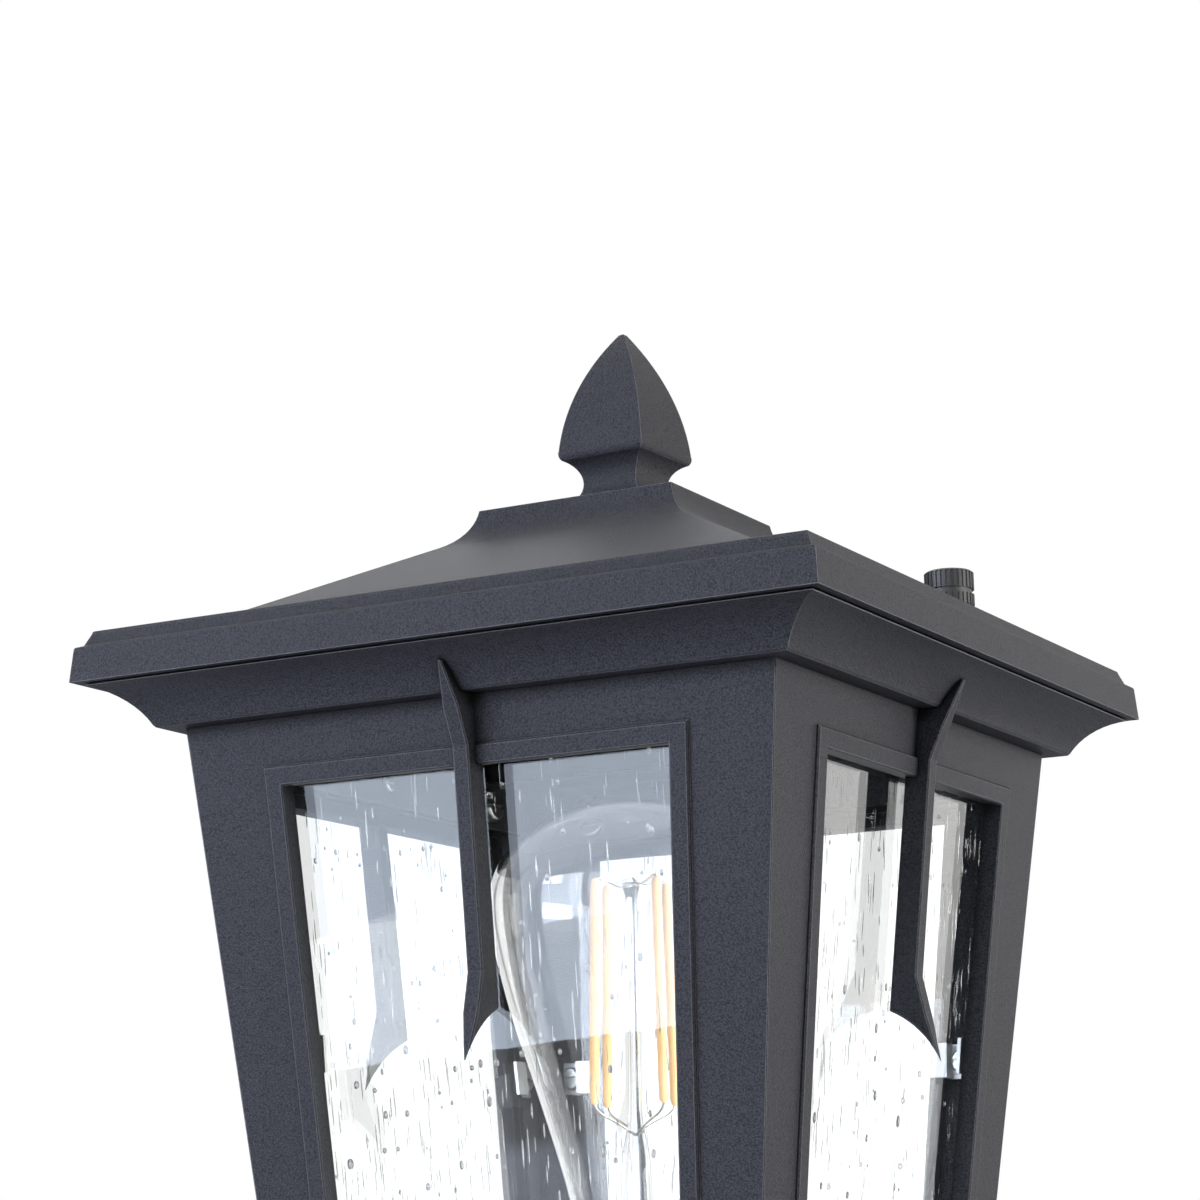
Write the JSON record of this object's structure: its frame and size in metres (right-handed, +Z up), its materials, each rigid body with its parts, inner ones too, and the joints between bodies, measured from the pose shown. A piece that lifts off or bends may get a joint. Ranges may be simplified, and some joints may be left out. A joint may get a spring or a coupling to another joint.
{
  "type": "post top lantern",
  "caption": "Square tapering post lantern with a hipped roof and spear finial, seeded glass windows, filament lamp and a collar that slips over a round post.",
  "frame": {"origin": "centre of the collar's bottom rim, where the lantern stands", "axes": "+Z up along the post, -Y is the front face, +X is the side with the knurled nut that the picture shows"},
  "size_m": [0.18, 0.18, 0.4308],
  "materials": {
    "black_paint": "fine sand texture, satin",
    "black_hardware": "satin black",
    "seeded_glass": "clear, seeded with small bubbles",
    "clear_glass": "clear, polished",
    "black_glass": "gloss",
    "zinc_steel": "zinc plated",
    "spring_steel": "plain",
    "nickel_brass": "nickel plated",
    "solder": "dull solder",
    "phenolic": "moulded, satin",
    "seal_rubber": "matt",
    "phosphor": "warm phosphor coat"
  },
  "bodies": {
    "root": {"post_fitter": "black_paint", "base_neck": "black_paint", "base_tray": "black_paint", "top_frame": "black_paint", "roof_gasket": "seal_rubber", "stem_tube": "zinc_steel", "stem_nut_lower": "zinc_steel", "stem_nut_upper": "zinc_steel", "stem_sleeve": "black_paint", "lampholder_body": "phenolic", "lampholder_shell": "nickel_brass", "lampholder_contact": "nickel_brass", "lampholder_cap": "black_paint", "roof_studs": "zinc_steel", "glass_clips": "spring_steel", "clip_screws": "zinc_steel", "panel_screws_top": "zinc_steel", "panel_screws_bottom": "zinc_steel", "bracket_screws": "zinc_steel", "side_panel_front": "black_paint", "glass_pane_front": "seeded_glass", "eave_bracket_front": "black_paint", "side_panel_right": "black_paint", "glass_pane_right": "seeded_glass", "eave_bracket_right": "black_paint", "side_panel_back": "black_paint", "glass_pane_back": "seeded_glass", "eave_bracket_back": "black_paint", "side_panel_left": "black_paint", "glass_pane_left": "seeded_glass", "eave_bracket_left": "black_paint"},
    "roof": {"roof_cap": "black_paint", "finial": "black_paint", "finial_rod": "zinc_steel", "finial_washer": "zinc_steel", "finial_nut": "zinc_steel"},
    "lamp_foot": {"lamp_contact": "solder"},
    "lamp": {"lamp_glass": "clear_glass", "lamp_stem": "clear_glass", "lamp_filaments": "phosphor", "lamp_wires": "nickel_brass", "lamp_base": "nickel_brass", "lamp_insulator": "black_glass"},
    "washer_right": {"nut_washer_right": "seal_rubber"},
    "nut_right": {"knurled_nut_right": "black_hardware"},
    "washer_left": {"nut_washer_left": "seal_rubber"},
    "nut_left": {"knurled_nut_left": "black_hardware"},
    "thumbscrew_front": {"thumbscrew_front": "black_hardware"},
    "thumbscrew_right": {"thumbscrew_right": "black_hardware"},
    "thumbscrew_left": {"thumbscrew_left": "black_hardware"}
  },
  "joints": [
    {"name": "roof_lift", "type": "slide", "parent": "root", "child": "roof", "axis": [0, 0, 1], "range_m": [0, 0.08]},
    {"name": "lamp_rise", "type": "slide", "parent": "root", "child": "lamp_foot", "axis": [0, 0, 1], "range_m": [0, 0.02524]},
    {"name": "lamp_turn", "type": "hinge", "parent": "lamp_foot", "child": "lamp", "pos_m": [0, 0, 0.2976], "axis": [0, 0, 1], "range_deg": [0, 2484]},
    {"name": "nut_rise_right", "type": "slide", "parent": "roof", "child": "washer_right", "axis": [0, 0, 1], "range_m": [0, 0.0056]},
    {"name": "nut_turn_right", "type": "hinge", "parent": "washer_right", "child": "nut_right", "pos_m": [0.0796, 0, 0.3547], "axis": [0, 0, 1], "range_deg": [0, 2530]},
    {"name": "nut_rise_left", "type": "slide", "parent": "roof", "child": "washer_left", "axis": [0, 0, 1], "range_m": [0, 0.0056]},
    {"name": "nut_turn_left", "type": "hinge", "parent": "washer_left", "child": "nut_left", "pos_m": [-0.0796, 0, 0.3547], "axis": [0, 0, 1], "range_deg": [0, 2530]},
    {"name": "thumbscrew_front_travel", "type": "slide", "parent": "root", "child": "thumbscrew_front", "axis": [0, 1, 0], "range_m": [0, 0.004]},
    {"name": "thumbscrew_right_travel", "type": "slide", "parent": "root", "child": "thumbscrew_right", "axis": [-0.866, -0.5, 0], "range_m": [0, 0.004]},
    {"name": "thumbscrew_left_travel", "type": "slide", "parent": "root", "child": "thumbscrew_left", "axis": [0.866, -0.5, 0], "range_m": [0, 0.004]}
  ],
  "couplings": [
    {"joint": "lamp_rise", "follows": "lamp_turn", "m_per_rad": 0.00057757},
    {"joint": "nut_turn_right", "follows": "nut_rise_right", "rad_per_m": 7854},
    {"joint": "nut_turn_left", "follows": "nut_rise_left", "rad_per_m": 7854}
  ]
}
